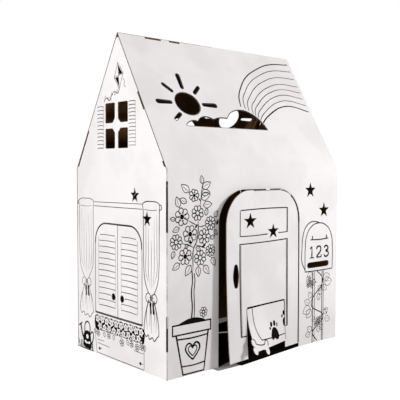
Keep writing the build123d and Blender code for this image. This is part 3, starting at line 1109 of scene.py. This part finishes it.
def ink_material():
    material = new_material("printed_black")
    tree = material.node_tree
    place = node(tree, "TexCoord").outputs["Object"]
    patch = clouds(tree, place, 34.0, 4.0)
    grain = clouds(tree, place, 900.0, 1.0)
    tone = reckon(tree, "MULTIPLY_ADD", patch, 0.7, reckon(tree, "MULTIPLY", grain, 0.3))
    colour = mix_colours(tree, tone, INK_BLACK, INK_GREY)
    feeds = (("Strength", 0.3), ("Distance", 0.0002), ("Height", grain))
    bump = node(tree, "Bump", feeds).outputs[0]
    shader = node(tree, "BsdfPrincipled", (
        ("Base Color", colour), ("Roughness", 0.8), ("Normal", bump), ("Specular IOR Level", 0.02),
    ))
    end_with(tree, shader.outputs[0])
    return material


ink = ink_material()

# %% [markdown]
# Both sheets carry the same print. On the back sheet the door is shut, so its drawings lie in
# the plane of the wall, and the roof drawings lie 14 mm further down the slope, as its
# cut-outs do. The twisted door and the curled flap need shorter steps than flat panels.

# %% Print both sheets
REAR_ROOF_DROP = 14.0
STEPS = {on_leaf: 30.0, on_flap: 12.0}
DRAWINGS = (
    ("plant_print", on_wall, potted_daisies),
    ("mailbox_print", on_wall, mailbox, climber),
    ("door_print", on_leaf, door_panels, door_edge),
    ("pet_flap_print", on_flap, pet_flap),
    ("shutter_print", on_gable, shutter_lines, attic_shutters),
    ("curtain_print", on_gable, curtains),
    ("flower_box_print", on_gable, flower_box, kite, watering_can),
    ("rainbow_print", on_roof, rainbow, opening_rims),
)

for name, place, *motifs in DRAWINGS:
    art = new_drawing()
    for motif in motifs:
        motif(art)
    shut_place = on_wall if place in STEPS else place
    shift = -REAR_ROOF_DROP if place is on_roof else 0.0
    lay(art, "front_" + name, place, limit=STEPS.get(place, FLAT_STEP))
    lay(art, "back_" + name, shut_place, turned=True, shift=shift)

# %% [markdown]
# The house stands on a plain pale floor under soft light. The floor looks white to the camera
# but still takes the shadow of the house, because for camera rays it mixes its own pale
# diffuse shade with a plain white glow. A house without a floor is dark underneath, and here
# that is painted: inside its walls the floor is painted nearly black as painted shade, with two
# glowing streaks of painted light where light would fall in from the far side. In the gap of the
# ajar door the floor has no glow and is painted a darker warm grey, so its shade there is partly
# painted shade and partly the real shade of the door.

# %% Zones of the floor, in metres
def floor_zones(tree):
    """Masks of the painted shade inside the house, of its two streaks of painted light, and of the door
    gap.
    """
    spot = node(tree, "TexCoord").outputs["Object"]
    x, y = node(tree, "SeparateXYZ", ((0, spot),)).outputs[:2]
    behind_leaf = reckon(tree, "MULTIPLY_ADD", x, 0.11, -0.267)
    in_gap = reckon(tree, "MULTIPLY_ADD", x, 0.32, -0.1705)
    front = mix(tree, below(tree, x, -0.14), behind_leaf, in_gap)
    front = mix(tree, between(tree, x, -0.225, 0.22), -0.243, front)
    inside = every(tree, above(tree, y, front), between(tree, x, -0.456, 0.456), below(tree, y, 0.338))
    # Two streaks on the floor inside, where light is painted as a glow.
    broad = between(tree, reckon(tree, "MULTIPLY_ADD", x, -0.21, y), 0.212, 0.30)
    broad = every(tree, broad, between(tree, x, 0.2, 0.42))
    narrow = between(tree, reckon(tree, "MULTIPLY_ADD", x, 0.38, y), 0.174, 0.193)
    narrow = every(tree, narrow, between(tree, x, 0.1, 0.2))
    streaks = either(tree, reckon(tree, "MULTIPLY", broad, 0.5), narrow)
    gap = every(tree, between(tree, x, -0.25, -0.14), between(tree, y, -0.276, -0.2))
    return inside, streaks, gap


# %% [markdown]
# The floor's material mixes its shaders by those zones. Glossy and transmission rays see the
# same white background as the camera does, on the floor and in the sky behind it.

# %% Floor and world
GLOW = 0.96
SKY_FILL = 0.25
FLOOR_SIZE = 30.0
FLOOR_DROP = 0.0005
WHITE = (1, 1, 1, 1)


def in_sight(tree):
    """1 for the rays that see the plain white background, 0 for the rays that light things."""
    path = node(tree, "LightPath").outputs
    return either(tree, path["Is Camera Ray"], path["Is Glossy Ray"], path["Is Transmission Ray"])


def matt(tree, colour):
    return node(tree, "BsdfDiffuse", ((0, colour + (1,)),)).outputs[0]


def shining(tree, colour, strength, kind="Emission"):
    return node(tree, kind, ((0, colour), (1, strength))).outputs[0]


def mix_shaders(tree, share, first, second):
    return node(tree, "MixShader", ((0, share), (1, first), (2, second))).outputs[0]


def floor_material():
    material = new_material("studio_floor")
    tree = material.node_tree
    inside, streaks, gap = floor_zones(tree)
    feeds = ((0, matt(tree, (0.2, 0.2, 0.2))), (1, shining(tree, WHITE, GLOW)))
    bright = node(tree, "AddShader", feeds).outputs[0]
    # In the door gap the glow is left out and the floor is a darker warm grey: partly painted shade,
    # partly the real shade of the door.
    shown = mix_shaders(tree, gap, bright, matt(tree, (0.42, 0.385, 0.37)))
    outside = mix_shaders(tree, in_sight(tree), matt(tree, (0.5, 0.5, 0.5)), shown)
    # The streaks glow: painted light, as if light fell in from the far side.
    painted_streak_light = shining(tree, (0.2, 0.185, 0.17, 1), 1.0)
    # Inside the house the floor is painted nearly black: painted shade.
    under = mix_shaders(tree, streaks, matt(tree, (0.012, 0.01, 0.009)), painted_streak_light)
    end_with(tree, mix_shaders(tree, inside, outside, under))
    return material


slab = bmesh.new()
bmesh.ops.create_grid(slab, x_segments=1, y_segments=1, size=FLOOR_SIZE)
floor = add_mesh("floor", slab, floor_material())
floor.location.z = -FLOOR_DROP

world = bpy.data.worlds.new("studio")
bpy.context.scene.world = world
world.use_nodes = True
sky = world.node_tree
sky.nodes.clear()
lit = shining(sky, WHITE, SKY_FILL, "Background")
plain = shining(sky, WHITE, 1.0, "Background")
end_with(sky, mix_shaders(sky, in_sight(sky), lit, plain), "OutputWorld")
print("sky has", len(sky.nodes), "nodes")

# %% [markdown]
# Four soft lamps light the house. A large one on the left faces the gable. A small one stands
# in front and to the right of the door wall, so the ajar door throws a narrow shadow to its
# left. One overhead fills the roof, and one behind keeps the far side bright in other views.

# %% Lamps
def soft_lamp(name, place, target, size, power):
    data = bpy.data.lights.new(name, "AREA")
    data.shape = "SQUARE"
    data.size = size
    data.energy = power
    lamp = add_object(name, data)
    lamp.location = place
    lamp.rotation_euler = (Vector(target) - Vector(place)).to_track_quat("-Z", "Y").to_euler()
    print(name, "is", size, "m wide and gives", power, "W")


soft_lamp("left_lamp", place=(-3.6, -0.5, 1.1), target=(-0.4, 0, 0.6), size=2.2, power=86)
soft_lamp("front_right_lamp", place=(1.05, -1.95, 0.95), target=(0, -0.2, 0.75), size=0.25, power=23.5)
soft_lamp("overhead_lamp", place=(-0.7, -1.1, 3.0), target=(0, -0.1, 0.9), size=1.6, power=17)
soft_lamp("rear_lamp", place=(2.8, 3.0, 2.0), target=(0, 0.2, 0.6), size=2.0, power=60)

# %% [markdown]
# The camera stands where the photographer stood: about 2.7 m away, at the height of the eaves,
# looking slightly down.

# %% Camera
CAMERA_PLACE = (-1.8346, -2.0092, 0.7218)
YAW, PITCH, ROLL = radians(49.186), radians(-2.716), radians(0.083)

lens = bpy.data.cameras.new("camera")
lens.sensor_width = 36.0
lens.lens = 60.04
camera = add_object("camera", lens)
ahead = Vector((cos(PITCH) * cos(YAW), cos(PITCH) * sin(YAW), sin(PITCH)))
turn = ahead.to_track_quat("-Z", "Y").to_matrix().to_4x4() @ Matrix.Rotation(ROLL, 4, "Z")
camera.matrix_world = Matrix.Translation(CAMERA_PLACE) @ turn
bpy.context.scene.camera = camera
bpy.context.scene.view_settings.view_transform = "Standard"
print("camera at", CAMERA_PLACE, "with a", lens.lens, "mm lens")
